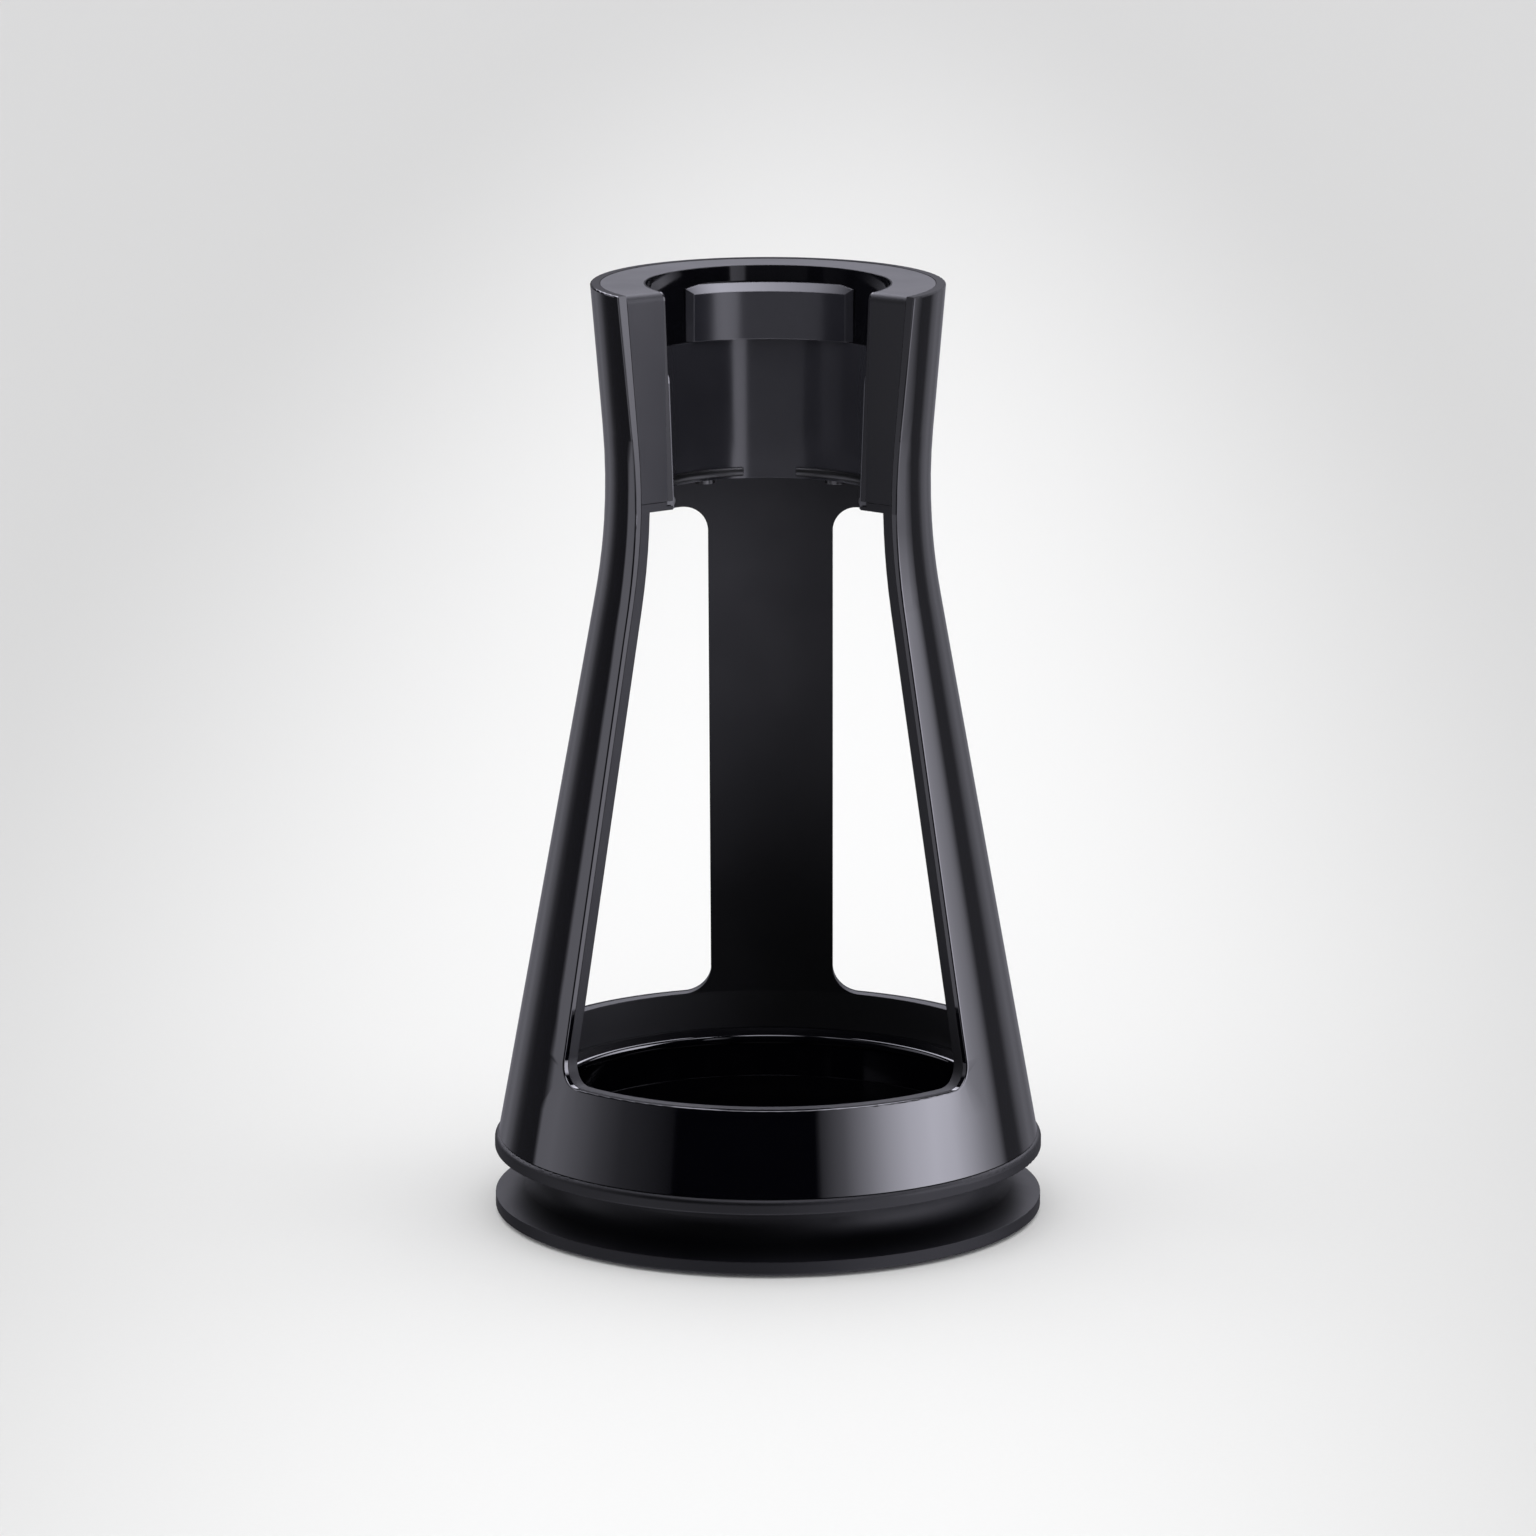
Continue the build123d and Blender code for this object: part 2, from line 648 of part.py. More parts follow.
with BuildPart() as carrier_screws:
    with PolarLocations(boss_circle, boss_count):
        add(carrier_screw)
carrier_screws.part.label = "carrier_screws"

with BuildPart() as cover_screws:
    with PolarLocations(cover_screw_circle, boss_count, start_angle=half_step):
        add(cover_fixing)
cover_screws.part.label = "cover_screws"

with BuildPart() as ballast_screws:
    with PolarLocations(post_circle, ballast_posts, start_angle=90):
        add(post_fixing)
ballast_screws.part.label = "ballast_screws"

# ---- one STEP file for each piece
pieces = [
    outer_shell.part,
    inner_frame.part,
    collar_insert.part,
    bore_sleeve.part,
    bead_left,
    bead_right,
    locating_pad.part,
    well_ring.part,
    base_carrier.part,
    trim_ring.part,
    spool_foot.part,
    ballast_plate.part,
    base_cover.part,
    *foot_pads,
    collar_screws.part,
    carrier_screws.part,
    cover_screws.part,
    ballast_screws.part,
]
for piece in pieces:
    export_step(piece, f"parts/{piece.label}.step")
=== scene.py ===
import math

import bmesh
import bpy
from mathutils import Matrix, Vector


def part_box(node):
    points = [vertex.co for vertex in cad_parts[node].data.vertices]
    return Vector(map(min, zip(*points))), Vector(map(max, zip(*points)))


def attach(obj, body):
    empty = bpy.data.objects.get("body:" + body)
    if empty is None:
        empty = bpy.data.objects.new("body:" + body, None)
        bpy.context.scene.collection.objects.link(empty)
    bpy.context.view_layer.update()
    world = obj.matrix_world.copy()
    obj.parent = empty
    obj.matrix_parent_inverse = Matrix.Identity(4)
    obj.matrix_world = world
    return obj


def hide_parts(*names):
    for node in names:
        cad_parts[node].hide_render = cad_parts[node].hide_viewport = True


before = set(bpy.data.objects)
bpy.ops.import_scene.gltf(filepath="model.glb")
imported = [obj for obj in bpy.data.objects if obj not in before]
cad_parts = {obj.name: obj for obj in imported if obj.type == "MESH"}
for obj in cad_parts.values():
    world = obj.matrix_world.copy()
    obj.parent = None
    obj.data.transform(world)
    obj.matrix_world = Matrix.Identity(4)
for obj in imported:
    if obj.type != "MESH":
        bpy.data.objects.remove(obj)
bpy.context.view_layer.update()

# ---------------------------------------------------------------- inner frame
# The tower's skeleton: one moulding of three legs, a shelf for the collar and a skirt with screw
# bosses. ABS from a spark-eroded tool, so its faces are matt with a fine even grain.
MM = 0.001
ABS_IOR = 1.53
FLOW_PATCH = 28 * MM  # size of the patches that flow in the mould leaves
FLOW_TINT = 0.15  # share by which they are paler or darker
WORN_RAYS = 4


def linear(hex_colour):
    """sRGB hex to the linear colour that a shader takes."""
    parts = [int(hex_colour[i : i + 2], 16) / 255 for i in (1, 3, 5)]
    return [c / 12.92 if c <= 0.04045 else ((c + 0.055) / 1.055) ** 2.4 for c in parts] + [1.0]


def node(tree, kind, settings=None, links=None):
    """One node with its settings and links. A key is an attribute's or an input's name, or an
    input's number where several inputs share a name.
    """
    new = tree.nodes.new(kind)
    for key, value in (settings or {}).items():
        if isinstance(key, int) or key in new.inputs:
            new.inputs[key].default_value = value
        else:
            setattr(new, key, value)
    for key, source in (links or {}).items():
        tree.links.new(source, new.inputs[key])
    return new


def fresh_material(name):
    """An empty node material: the material, its tree, and its object coordinates."""
    material = bpy.data.materials.new(name)
    material.use_nodes = True
    tree = material.node_tree
    tree.nodes.clear()
    return material, tree, node(tree, "ShaderNodeTexCoord").outputs["Object"]


def moulded(name, colour, gloss, matt, shine, grain, relief, edge=0.25, polished=None):
    """Moulded plastic. Its roughness drifts from gloss to matt over centimetres, a grain of this
    size in mm stands out by relief, and its sharp edges look worn by edge, unless that is 0.
    polished = (radius, low, rough) polishes what lies inside a radius and above a level, in mm.
    """
    material, tree, place = fresh_material(name)
    drift = node(
        tree, "ShaderNodeTexNoise", {"Scale": 1 / FLOW_PATCH, "Detail": 3.0}, {"Vector": place}
    ).outputs["Fac"]
    pits = node(
        tree,
        "ShaderNodeTexNoise",
        {"Scale": 1 / (grain * MM), "Detail": 2.0, "Roughness": 0.6},
        {"Vector": place},
    )
    rough = node(
        tree,
        "ShaderNodeMapRange",
        {"From Min": 0.3, "From Max": 0.7, "To Min": gloss, "To Max": matt},
        {"Value": drift},
    )
    pale = node(
        tree,
        "ShaderNodeMapRange",
        {"From Min": 0.25, "From Max": 0.75, "To Min": 1 - FLOW_TINT, "To Max": 1 + FLOW_TINT},
        {"Value": drift},
    )
    tint = node(
        tree,
        "ShaderNodeVectorMath",
        {"operation": "SCALE", 0: linear(colour)[:3]},
        {"Scale": pale.outputs[0]},
    )
    roughness, height = rough.outputs[0], pits.outputs["Fac"]
    if polished:
        radius, low, bright = polished
        parts = node(tree, "ShaderNodeSeparateXYZ", {}, {0: place}).outputs
        flat = node(tree, "ShaderNodeCombineXYZ", {}, {"X": parts["X"], "Y": parts["Y"]})
        far = node(tree, "ShaderNodeVectorMath", {"operation": "LENGTH"}, {0: flat.outputs[0]})
        outside = node(
            tree,
            "ShaderNodeMath",
            {"operation": "GREATER_THAN", 1: radius * MM},
            {0: far.outputs["Value"]},
        )
        below = node(
            tree, "ShaderNodeMath", {"operation": "LESS_THAN", 1: low * MM}, {0: parts["Z"]}
        )
        left_matt = node(
            tree,
            "ShaderNodeMath",
            {"operation": "MAXIMUM"},
            {0: outside.outputs[0], 1: below.outputs[0]},
        ).outputs[0]
        finish = node(
            tree,
            "ShaderNodeMix",
            {"data_type": "FLOAT", "A": bright},
            {0: left_matt, "B": roughness},
        )
        grained = node(
            tree, "ShaderNodeMath", {"operation": "MULTIPLY"}, {0: left_matt, 1: height}
        )
        roughness, height = finish.outputs[0], grained.outputs[0]
    bump = node(tree, "ShaderNodeBump", {"Distance": relief * MM}, {"Height": height})
    if edge:
        worn = node(tree, "ShaderNodeBevel", {"samples": WORN_RAYS, "Radius": edge * MM})
        tree.links.new(worn.outputs[0], bump.inputs["Normal"])
    surface = node(
        tree,
        "ShaderNodeBsdfPrincipled",
        {"Specular IOR Level": shine, "IOR": ABS_IOR},
        {"Base Color": tint.outputs[0], "Roughness": roughness, "Normal": bump.outputs[0]},
    )
    node(tree, "ShaderNodeOutputMaterial", {}, {"Surface": surface.outputs[0]})
    return material


def finish_of(name, material):
    """Gives a part kept from the engineering model its finish."""
    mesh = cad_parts[name].data
    mesh.materials.clear()
    mesh.materials.append(material)


matt_abs = moulded("matt spark-eroded ABS", "#08080c", 0.5, 0.62, 0.24, 0.35, 0.006)
finish_of("inner_frame", matt_abs)

# ---------------------------------------------------------------- bore sleeve
# A thin liner that the opener slides in, dropped through the shelf and clamped by its lip. Its ABS
# is a shade greyer than the collar's and polished to a satin, so that it shows soft-edged bands.
satin_abs = moulded("satin grey ABS", "#2b2b31", 0.12, 0.17, 0.5, 1.2, 0.0006, 0.1)
finish_of("bore_sleeve", satin_abs)

# ---------------------------------------------------------------- beads
# Two soft strips round the sleeve's lower edge that grip the opener. Thermoplastic elastomer,
# moulded on to the sleeve in one shot, oval in section, square-ended, with a plain gap at the back.
BEAD_STEPS = 72
BEAD_SIDES = 24
BEAD_MIDDLE = 0.15 * MM  # the section's middle is this far in from the sleeve's face
BEAD_HALF = 0.75 * MM  # half the section's thickness


def bead_tree():
    """Geometry nodes: an oval section swept round an arc about the stand's axis."""
    tree = bpy.data.node_groups.new("bead round an arc", "GeometryNodeTree")
    tree.interface.new_socket("Geometry", in_out="OUTPUT", socket_type="NodeSocketGeometry")
    for name in ("Radius", "Level", "Start", "Sweep", "Half height", "Half thickness"):
        tree.interface.new_socket(name, in_out="INPUT", socket_type="NodeSocketFloat")
    tree.interface.new_socket("Material", in_out="INPUT", socket_type="NodeSocketMaterial")
    given = tree.nodes.new("NodeGroupInput").outputs
    arc = node(
        tree,
        "GeometryNodeCurveArc",
        {"mode": "RADIUS", "Resolution": BEAD_STEPS},
        {"Radius": given["Radius"], "Start Angle": given["Start"], "Sweep Angle": given["Sweep"]},
    )
    lift = node(tree, "ShaderNodeCombineXYZ", {}, {"Z": given["Level"]})
    raised = node(
        tree,
        "GeometryNodeTransform",
        {},
        {"Geometry": arc.outputs["Curve"], "Translation": lift.outputs[0]},
    )
    circle = node(
        tree, "GeometryNodeCurvePrimitiveCircle", {"Resolution": BEAD_SIDES, "Radius": 1.0}
    )
    squash = node(
        tree,
        "ShaderNodeCombineXYZ",
        {"Z": 1.0},
        {"X": given["Half thickness"], "Y": given["Half height"]},
    )
    section = node(
        tree,
        "GeometryNodeTransform",
        {},
        {"Geometry": circle.outputs["Curve"], "Scale": squash.outputs[0]},
    )
    swept = node(
        tree,
        "GeometryNodeCurveToMesh",
        {"Fill Caps": True},
        {"Curve": raised.outputs[0], "Profile Curve": section.outputs[0]},
    )
    smooth = node(tree, "GeometryNodeSetShadeSmooth", {}, {"Geometry": swept.outputs[0]})
    made = node(tree, "GeometryNodeRealizeInstances", {}, {"Geometry": smooth.outputs[0]})
    coated = node(
        tree,
        "GeometryNodeSetMaterial",
        {},
        {"Geometry": made.outputs[0], "Material": given["Material"]},
    )
    node(tree, "NodeGroupOutput", {}, {0: coated.outputs[0]})
    return tree


def grown(name, tree, values):
    """A plain mesh object made by a node tree from these named inputs."""
    seed = bpy.data.objects.new(name + " seed", bpy.data.meshes.new(name + " seed"))
    bpy.context.collection.objects.link(seed)
    modifier = seed.modifiers.new("grow", "NODES")
    modifier.node_group = tree
    for item in tree.interface.items_tree:
        if item.in_out == "INPUT" and item.name in values:
            modifier[item.identifier] = values[item.name]
    bpy.context.view_layer.update()
    evaluated = seed.evaluated_get(bpy.context.evaluated_depsgraph_get())
    shape = bpy.data.meshes.new_from_object(evaluated)
    bpy.data.objects.remove(seed)
    piece = bpy.data.objects.new(name, shape)
    bpy.context.collection.objects.link(piece)
    return piece


elastomer = moulded("soft black elastomer", "#131315", 0.34, 0.42, 0.45, 0.3, 0.002)
bead_maker = bead_tree()
for side in ("bead_left", "bead_right"):
    low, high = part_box(side)
    radius = max(-low.x, high.x)
    inner = radius - BEAD_MIDDLE - BEAD_HALF
    back = math.asin(min(abs(low.x), abs(high.x)) / inner)
    front = math.pi - math.acos(-low.y / radius)
    start = back if side == "bead_left" else -front
    bead = grown(
        side + "_strip",
        bead_maker,
        {
            "Radius": radius - BEAD_MIDDLE,
            "Level": (low.z + high.z) / 2,
            "Start": math.pi / 2 + start,
            "Sweep": front - back,
            "Half height": (high.z - low.z) / 2,
            "Half thickness": BEAD_HALF,
            "Material": elastomer,
        },
    )
    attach(bead, "root")
    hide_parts(side)

# ---------------------------------------------------------------- collar insert
# The C-shaped collar: matt ABS on its top and cheeks, with corners rounded in the tool, and a
# polished tapered bore. Four screws hold it down on the frame's shelf, over the sleeve's lip.
COLLAR_BORE = 26.75  # mm, a little outside the bore's widest radius
low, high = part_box("collar_insert")
polished_bore = (COLLAR_BORE, low.z / MM, 0.08)
collar_abs = moulded(
    "matt ABS, polished bore", "#09090d", 0.5, 0.62, 0.25, 0.35, 0.006, 0.2, polished_bore
)
finish_of("collar_insert", collar_abs)

# ---------------------------------------------------------------- locating pad
# A flat-faced key that turns the opener to the front, bevelled at its top. Polished ABS, pushed in
# from inside the bore on two barbed pegs.
pad_abs = moulded("polished grey ABS", "#24242a", 0.13, 0.2, 0.5, 1.2, 0.0006, 0.3)
finish_of("locating_pad", pad_abs)

# ---------------------------------------------------------------- outer shell
# The polished skin wrapped round the tower, a clip-on moulding 1.2 mm thick. Black ABS from a
# mirror tool, so it shows its surroundings sharply and has almost no grain.
gloss_abs = moulded("moulded gloss black ABS", "#030306", 0.035, 0.06, 0.5, 9.0, 0.0004, 0)
finish_of("outer_shell", gloss_abs)

# ---------------------------------------------------------------- base carrier
# The plate that closes the tower, with the upper wall of the well. Gloss black ABS, screwed up
# into the frame's bosses.
finish_of("base_carrier", gloss_abs)

# ---------------------------------------------------------------- well ring
# A loose ring lying round the mouth of the well, with a rounded nose and one fine groove. Gloss
# black ABS, smooth all round because its tool was turned.
RING_STEPS = 256
ROUND_STEPS = 6
CREASE = math.radians(30)  # flatter edges are shaded smooth
NOSE_R = 47.0  # mm, the ring's smallest radius
NOSE_ROUND = 0.9
GROOVE_R = 49.85  # mm, the groove's middle
GROOVE_HALF = 0.15
GROOVE_DEPTH = 0.3
GROOVE_FLARE = 0.05  # its sides lean out, and are rounded, by this much
TOP_ROUND = 0.25
FOOT_ROUND = 0.15


def lathe(name, outline, material):
    """A closed outline of (radius, level, rounding) in mm, turned about the stand's axis."""
    points = []
    for i, (r, z, rounding) in enumerate(outline):
        here = Vector((r, z))
        if not rounding:
            points.append(here)
            continue
        before = (Vector(outline[i - 1][:2]) - here).normalized()
        after = (Vector(outline[(i + 1) % len(outline)][:2]) - here).normalized()
        half = before.angle(after) / 2
        middle = here + (before + after).normalized() * rounding / math.sin(half)
        first = here + before * rounding / math.tan(half) - middle
        last = here + after * rounding / math.tan(half) - middle
        for step in range(ROUND_STEPS + 1):
            points.append(middle + first.slerp(last, step / ROUND_STEPS))
    shape = bmesh.new()
    rings = []
    for point in points:
        turns = [math.tau * k / RING_STEPS for k in range(RING_STEPS)]
        x, z = point.x * MM, point.y * MM
        rings.append([shape.verts.new((x * math.cos(t), x * math.sin(t), z)) for t in turns])
    for a, b in zip(rings, rings[1:] + rings[:1]):
        for k in range(RING_STEPS):
            after = (k + 1) % RING_STEPS
            shape.faces.new((a[k], a[after], b[after], b[k]))
    bmesh.ops.remove_doubles(shape, verts=shape.verts, dist=1e-7)
    bmesh.ops.recalc_face_normals(shape, faces=shape.faces)
    for face in shape.faces:
        face.smooth = True
    for edge in shape.edges:
        edge.smooth = edge.calc_face_angle(0.0) < CREASE
    mesh = bpy.data.meshes.new(name)
    shape.to_mesh(mesh)
    shape.free()
    mesh.materials.append(material)
    piece = bpy.data.objects.new(name, mesh)
    bpy.context.collection.objects.link(piece)
    return piece


low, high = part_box("well_ring")
outer, top, bottom = high.x / MM, high.z / MM, low.z / MM
ring = lathe(
    "well_ring_turned",
    [
        (outer, bottom, FOOT_ROUND),
        (outer, top, TOP_ROUND),
        (GROOVE_R + GROOVE_HALF + GROOVE_FLARE, top, GROOVE_FLARE),
        (GROOVE_R + GROOVE_HALF, top - GROOVE_DEPTH, 0),
        (GROOVE_R - GROOVE_HALF, top - GROOVE_DEPTH, 0),
        (GROOVE_R - GROOVE_HALF - GROOVE_FLARE, top, GROOVE_FLARE),
        (NOSE_R, top, NOSE_ROUND),
        (NOSE_R, bottom, NOSE_ROUND),
    ],
    gloss_abs,
)
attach(ring, "root")
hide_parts("well_ring")

# ---------------------------------------------------------------- trim ring
# The ring between the shell and the foot. Fine matt ABS, staked to the carrier by four pegs.
foot_abs = moulded("fine matt ABS", "#060609", 0.42, 0.55, 0.16, 0.22, 0.003)
finish_of("trim_ring", foot_abs)

# ---------------------------------------------------------------- foot
# The spool moulding that the stand stands on: a hollow-sided neck over a thin flange. Fine matt ABS
# outside, polished inside the well.
WELL_SIDE = 47.6  # mm, a little outside the well's radius
WELL_UNDER = 7.0  # mm, a little under its floor
polished_well = (WELL_SIDE, WELL_UNDER, 0.06)
spool_abs = moulded(
    "fine matt ABS, polished well", "#050508", 0.42, 0.55, 0.13, 0.22, 0.003, 0.25, polished_well
)
finish_of("spool_foot", spool_abs)

# ---------------------------------------------------------------- ballast plate
# A plain steel disc hung under the well, for weight. Zinc-plated, with the mottled spangle and the
# fine rolling marks of sheet stock.
SPANGLE = 3 * MM
ROLL_MARK = 18 * MM  # length of a rolling mark
MARKS_THINNER = 40.0  # times as thin as long
steel, tree, place = fresh_material("zinc-plated steel")
spangle = node(tree, "ShaderNodeTexVoronoi", {"Scale": 1 / SPANGLE}, {"Vector": place})
rolled = node(tree, "ShaderNodeMapping", {"Scale": (1.0, MARKS_THINNER, 1.0)}, {"Vector": place})
lines = node(
    tree,
    "ShaderNodeTexNoise",
    {"Scale": 1 / ROLL_MARK, "Detail": 4.0},
    {"Vector": rolled.outputs[0]},
).outputs["Fac"]
rough = node(tree, "ShaderNodeMapRange", {"To Min": 0.28, "To Max": 0.5}, {"Value": lines})
grey = node(
    tree,
    "ShaderNodeMapRange",
    {"To Min": 0.42, "To Max": 0.62},
    {"Value": spangle.outputs["Distance"]},
)
bump = node(tree, "ShaderNodeBump", {"Distance": 0.01 * MM}, {"Height": lines})
surface = node(
    tree,
    "ShaderNodeBsdfPrincipled",
    {"Metallic": 1.0},
    {"Base Color": grey.outputs[0], "Roughness": rough.outputs[0], "Normal": bump.outputs[0]},
)
node(tree, "ShaderNodeOutputMaterial", {}, {"Surface": surface.outputs[0]})
finish_of("ballast_plate", steel)

# ---------------------------------------------------------------- base cover
# The flat plate that closes the foot from below. Matt ABS, held by four countersunk screws.
finish_of("base_cover", moulded("matt ABS, coarse", "#0c0c0e", 0.55, 0.7, 0.35, 0.5, 0.02))

# ---------------------------------------------------------------- foot pads
# Four anti-slip discs stuck in seats in the cover. Natural rubber, black, with a faint bloom.
PADS = 4
rubber = moulded("black rubber", "#161617", 0.7, 0.85, 0.25, 0.6, 0.02)
for number in range(1, PADS + 1):
    finish_of(f"foot_pad_{number}", rubber)

# ---------------------------------------------------------------- screws
# Cross-head screws in four sets: collar, carrier, cover and ballast. Black zinc over steel, duller
# where the driver has not rubbed.
PLATING_PATCH = 0.8 * MM
SCREW_EDGE = 0.12 * MM
black_zinc, tree, place = fresh_material("black zinc screws")
cloud = node(
    tree, "ShaderNodeTexNoise", {"Scale": 1 / PLATING_PATCH, "Detail": 3.0}, {"Vector": place}
).outputs["Fac"]
rough = node(tree, "ShaderNodeMapRange", {"To Min": 0.25, "To Max": 0.45}, {"Value": cloud})
grey = node(tree, "ShaderNodeMapRange", {"To Min": 0.05, "To Max": 0.12}, {"Value": cloud})
worn = node(tree, "ShaderNodeBevel", {"samples": WORN_RAYS, "Radius": SCREW_EDGE})
surface = node(
    tree,
    "ShaderNodeBsdfPrincipled",
    {"Metallic": 1.0},
    {"Base Color": grey.outputs[0], "Roughness": rough.outputs[0], "Normal": worn.outputs[0]},
)
node(tree, "ShaderNodeOutputMaterial", {}, {"Surface": surface.outputs[0]})
for group in ("collar_screws", "carrier_screws", "cover_screws", "ballast_screws"):
    finish_of(group, black_zinc)

# ---------------------------------------------------------------- floor
# Seamless paper, matt and nearly white. Its colour holds painted shade: it is painted a shade
# deeper away from the lit strip down its middle, where the light falls off.
FIBRE = 1.2 * MM
# painted shade: how fast the paper's painted tone deepens away from the lit strip
PAINTED_SHADE_RATE = (3.6, 0.34, 0.0)  # how fast the tone falls off per metre, across and along
# painted light on the strip and painted shade far from it, as base colours of the paper
PAINTED_LIGHT_TONE, PAINTED_SHADE_TONE = 0.86, 0.60
REACH = 14.0  # metres from the middle to each edge
paper, tree, place = fresh_material("seamless paper, matt")
fibre = node(
    tree, "ShaderNodeTexNoise", {"Scale": 1 / FIBRE, "Detail": 2.0}, {"Vector": place}
)
strip = node(tree, "ShaderNodeMapping", {"Scale": PAINTED_SHADE_RATE}, {"Vector": place})
away = node(tree, "ShaderNodeVectorMath", {"operation": "LENGTH"}, {0: strip.outputs[0]})
# painted shade: the paper's colour goes from the painted light tone to the painted shade tone away
# from the strip
painted_shade = node(
    tree,
    "ShaderNodeMapRange",
    {
        "interpolation_type": "SMOOTHSTEP",
        "From Min": 0.12,
        "From Max": 0.95,
        "To Min": PAINTED_LIGHT_TONE,
        "To Max": PAINTED_SHADE_TONE,
    },
    {"Value": away.outputs["Value"]},
)
flecked = node(
    tree, "ShaderNodeMapRange", {"To Min": 0.99, "To Max": 1.01}, {"Value": fibre.outputs["Fac"]}
)
grey = node(
    tree, "ShaderNodeMath", {"operation": "MULTIPLY"}, {0: painted_shade.outputs[0], 1: flecked.outputs[0]}
)
surface = node(
    tree,
    "ShaderNodeBsdfPrincipled",
    {"Roughness": 0.95, "Specular IOR Level": 0.05},
    {"Base Color": grey.outputs[0]},
)
node(tree, "ShaderNodeOutputMaterial", {}, {"Surface": surface.outputs[0]})

corners = [(-REACH, -REACH, 0), (REACH, -REACH, 0), (REACH, REACH, 0), (-REACH, REACH, 0)]
floor_mesh = bpy.data.meshes.new("floor")
floor_mesh.from_pydata(corners, [], [(0, 1, 2, 3)])
floor_mesh.materials.append(paper)
floor = bpy.data.objects.new("floor", floor_mesh)
bpy.context.collection.objects.link(floor)
floor.visible_glossy = False

# ---------------------------------------------------------------- studio light
# An even white tent for matt surfaces. Polished ones show the softboxes stood round it: a long
# one on the right, a dimmer one on the left, black between them, and pale paper far behind.
# Each entry is (degrees from the front towards +X, brightness above eye level, and below it).
ROOM = (
    (-180, 0.2, 0.2), (-158, 0.25, 0.25), (-150, 0.38, 0.38), (-142, 0.3, 0.3),
    (-136, 0.13, 0.13), (-131, 0.07, 0.07), (-116, 0.08, 0.08), (-114, 1.1, 1.0),
    (-104, 1.45, 1.2), (-95, 1.35, 1.1), (-84, 1.0, 0.9), (-77, 0.7, 0.7),
    (-65, 0.36, 0.5), (-48, 0.18, 0.3), (-41, 0.09, 0.2), (-39, 0.0, 0.0),
    (22, 0.0, 0.0), (23.5, 0.4, 1.6), (34, 1.4, 2.0), (44, 3.3, 2.1),
    (54, 5.6, 2.1), (65, 7.6, 2.1), (77, 8.5, 2.0), (88, 8.0, 1.9),
    (97, 6.0, 1.8), (109, 2.8, 1.5), (117, 1.5, 0.8), (122, 0.2, 0.15),
    (134, 0.12, 0.12), (140, 0.35, 0.35), (149, 0.4, 0.4), (158, 0.25, 0.25),
)
BRIGHTEST = 8.5  # the table's highest brightness, which the ramps hold as 1
TENT = 1.13  # brightness of the tent on matt surfaces
COOL = (0.97, 0.96, 1.1, 1.0)  # what polished surfaces show is a little blue
OVERHEAD = 6.0  # a softbox above, brighter towards the right
REAR_BOX = 5.0  # a softbox hung high behind
GROUND = 3.2  # the paper in front, seen looking down
# Where each begins and ends, as sines of the angle above the horizon.
EYE_LEVEL = (-0.12, 0.02)
SIDES_END = (0.55, 0.70)
OVERHEAD_BEGINS = (0.82, 0.94)
REAR_BEGINS = (0.36, 0.50)
GROUND_ENDS = (-0.50, -0.09)

world = bpy.data.worlds.new("studio")
world.use_nodes = True
tree = world.node_tree
compass = node(tree, "ShaderNodeTexCoord").outputs["Generated"]
parts = node(tree, "ShaderNodeSeparateXYZ", {}, {0: compass}).outputs
front = node(tree, "ShaderNodeMath", {"operation": "MULTIPLY", 1: -1.0}, {0: parts["Y"]})
turn = node(
    tree, "ShaderNodeMath", {"operation": "ARCTAN2"}, {0: parts["X"], 1: front.outputs[0]}
)
way_round = node(
    tree,
    "ShaderNodeMapRange",
    {"From Min": -math.pi, "From Max": math.pi},
    {"Value": turn.outputs[0]},
)
upper = node(tree, "ShaderNodeValToRGB", {}, {"Fac": way_round.outputs[0]})
lower = node(tree, "ShaderNodeValToRGB", {}, {"Fac": way_round.outputs[0]})
for column, boxes in ((1, upper), (2, lower)):
    elements = boxes.color_ramp.elements
    while len(elements) < len(ROOM):
        elements.new(0.5)
    for element, entry in zip(elements, ROOM):
        element.position = (entry[0] + 180.0) / 360.0
        element.color = [entry[column] / BRIGHTEST] * 3 + [1.0]


def by_height(span, low, high):
    """Goes from low to high over a span of heights."""
    return node(
        tree,
        "ShaderNodeMapRange",
        {"From Min": span[0], "From Max": span[1], "To Min": low, "To Max": high},
        {"Value": parts["Z"]},
    )


def combined(operation, a, b):
    """Two node outputs put together by one sum."""
    return node(
        tree, "ShaderNodeMath", {"operation": operation}, {0: a.outputs[0], 1: b.outputs[0]}
    )


sides = node(
    tree,
    "ShaderNodeMix",
    {"data_type": "FLOAT"},
    {0: by_height(EYE_LEVEL, 0.0, 1.0).outputs[0], "A": lower.outputs[0], "B": upper.outputs[0]},
)
side_light = combined("MULTIPLY", sides, by_height(SIDES_END, 1.0, 0.0))
rightwards = node(
    tree,
    "ShaderNodeMapRange",
    {"From Min": -0.4, "From Max": 0.5, "To Min": 0.6, "To Max": 1.5},
    {"Value": parts["X"]},
)
overhead = combined(
    "MULTIPLY", rightwards, by_height(OVERHEAD_BEGINS, 0.0, OVERHEAD / BRIGHTEST)
)
behind = node(
    tree,
    "ShaderNodeMapRange",
    {"From Min": 0.2, "From Max": 0.5, "To Min": 0.0, "To Max": REAR_BOX / BRIGHTEST},
    {"Value": parts["Y"]},
)
rear = combined("MULTIPLY", behind, by_height(REAR_BEGINS, 0.0, 1.0))
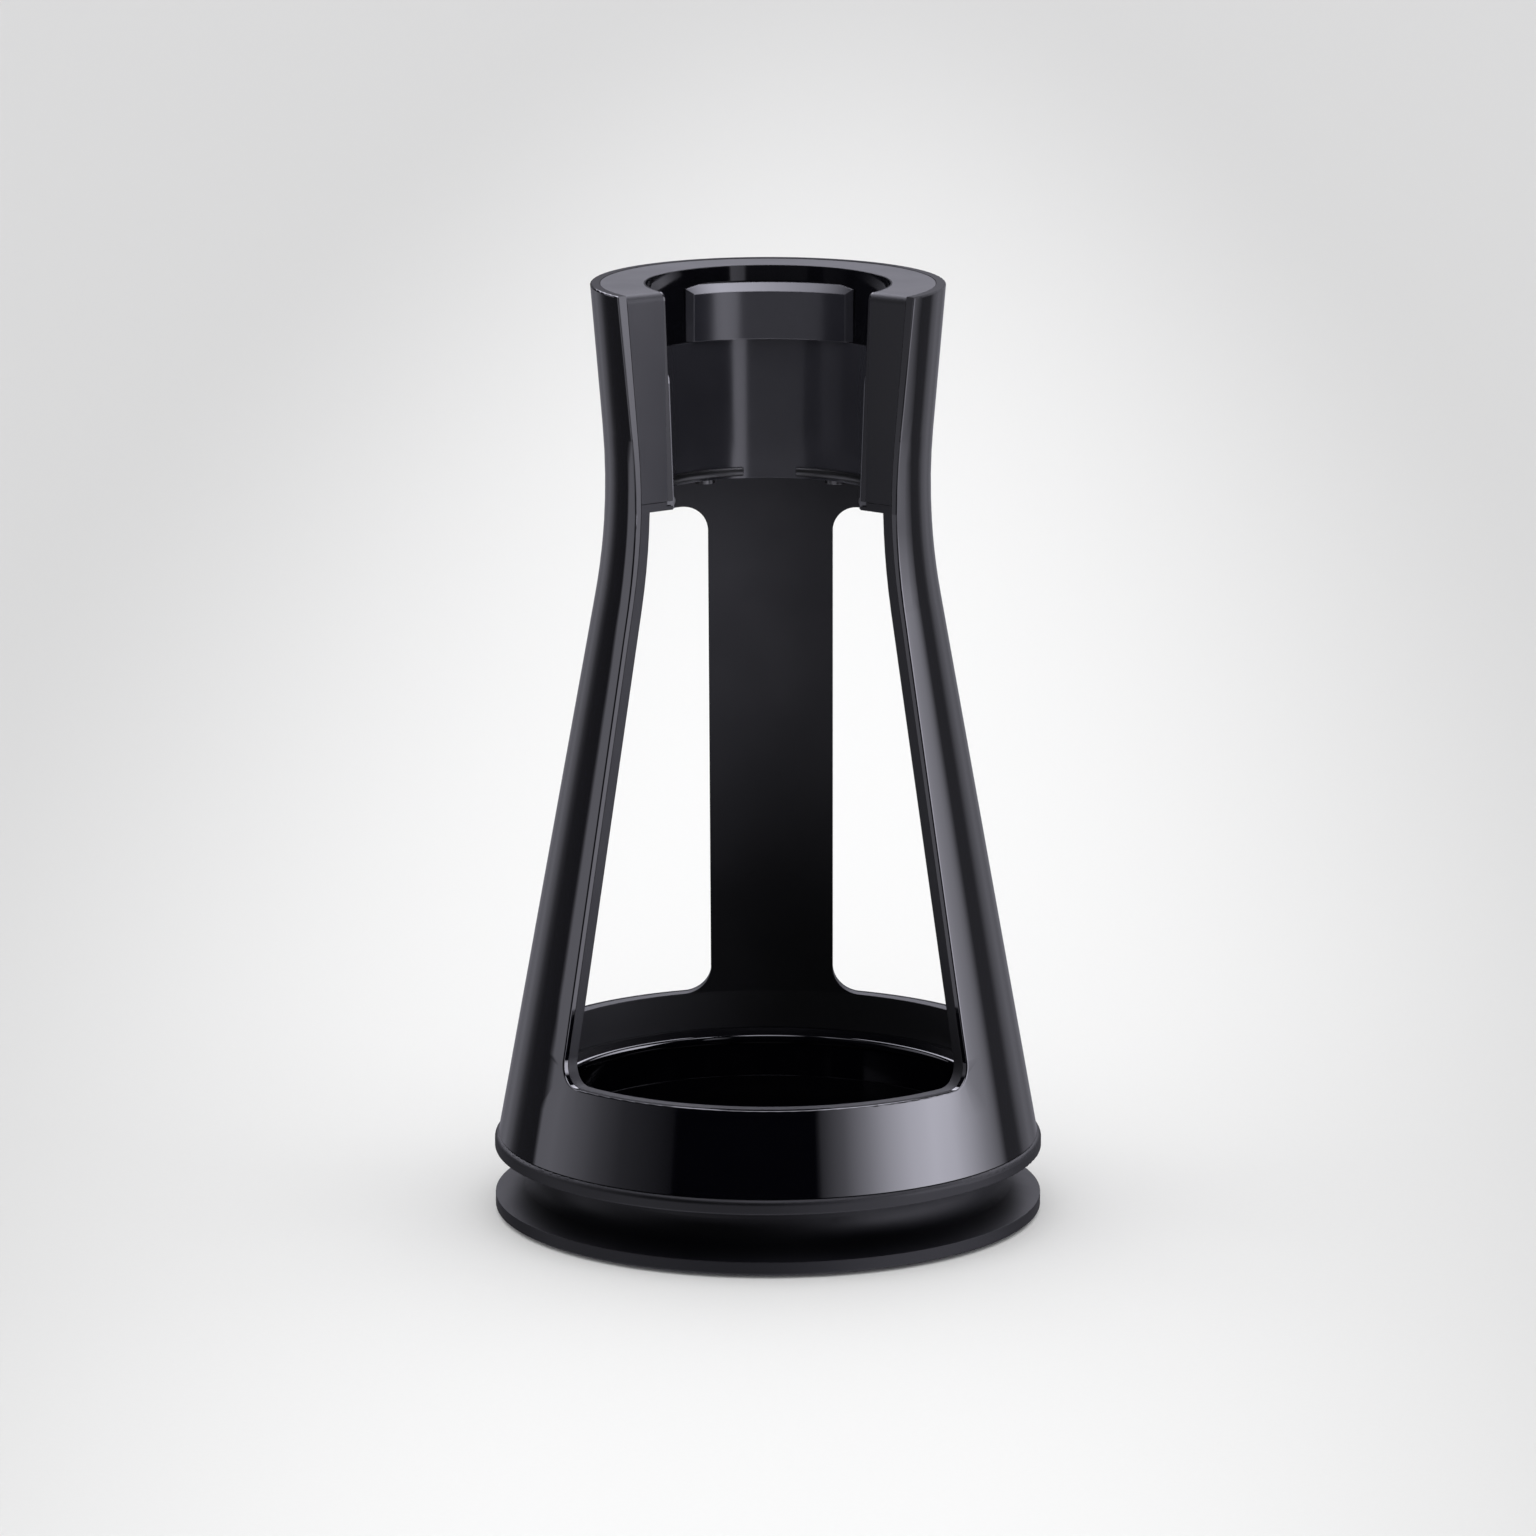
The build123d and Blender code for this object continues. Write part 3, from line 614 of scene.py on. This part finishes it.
before = node(
    tree, "ShaderNodeMapRange", {"From Min": 0.0, "From Max": 0.4}, {"Value": front.outputs[0]}
)
ground = combined("MULTIPLY", before, by_height(GROUND_ENDS, GROUND / BRIGHTEST, 0.0))
shine = combined("ADD", combined("ADD", side_light, overhead), combined("ADD", rear, ground))
shown = node(
    tree, "ShaderNodeMath", {"operation": "MULTIPLY", 1: BRIGHTEST}, {0: shine.outputs[0]}
)
polished_ray = node(tree, "ShaderNodeLightPath").outputs["Is Glossy Ray"]
strength = node(
    tree,
    "ShaderNodeMix",
    {"data_type": "FLOAT", "A": TENT},
    {0: polished_ray, "B": shown.outputs[0]},
)
MIX_A, MIX_B, MIXED = 6, 7, 2  # a colour mix has its inputs and its output at these numbers
cast = node(
    tree,
    "ShaderNodeMix",
    {"data_type": "RGBA", MIX_A: linear("#ffffff"), MIX_B: COOL},
    {0: polished_ray},
)
tree.links.new(cast.outputs[MIXED], tree.nodes["Background"].inputs["Color"])
tree.links.new(strength.outputs[0], tree.nodes["Background"].inputs["Strength"])
bpy.context.scene.world = world
bpy.context.scene.view_settings.view_transform = "Standard"

# ---------------------------------------------------------------- camera
# A long lens on a tripod, a little above the stand and a hair to its right, aimed at its middle.
LENS = 177.0  # mm, on a sensor this wide
SENSOR = 36.0
DISTANCE = 1.645
PIVOT = Vector((0.0, 0.0, 0.1018))  # the tripod stands round this point
AIM = Vector((0.0, 0.0, 0.0984))
TILT = math.radians(11.98)
AROUND = math.radians(1.0)
camera_data = bpy.data.cameras.new("camera")
camera_data.lens = LENS
camera_data.sensor_width = SENSOR
camera_data.clip_end = 100.0
camera = bpy.data.objects.new("camera", camera_data)
bpy.context.collection.objects.link(camera)
level = Vector((math.sin(AROUND), -math.cos(AROUND), 0.0))
arm = level * math.cos(TILT) + Vector((0.0, 0.0, math.sin(TILT)))
camera.location = PIVOT + arm * DISTANCE
camera.rotation_euler = (AIM - camera.location).to_track_quat("-Z", "Y").to_euler()
bpy.context.scene.camera = camera
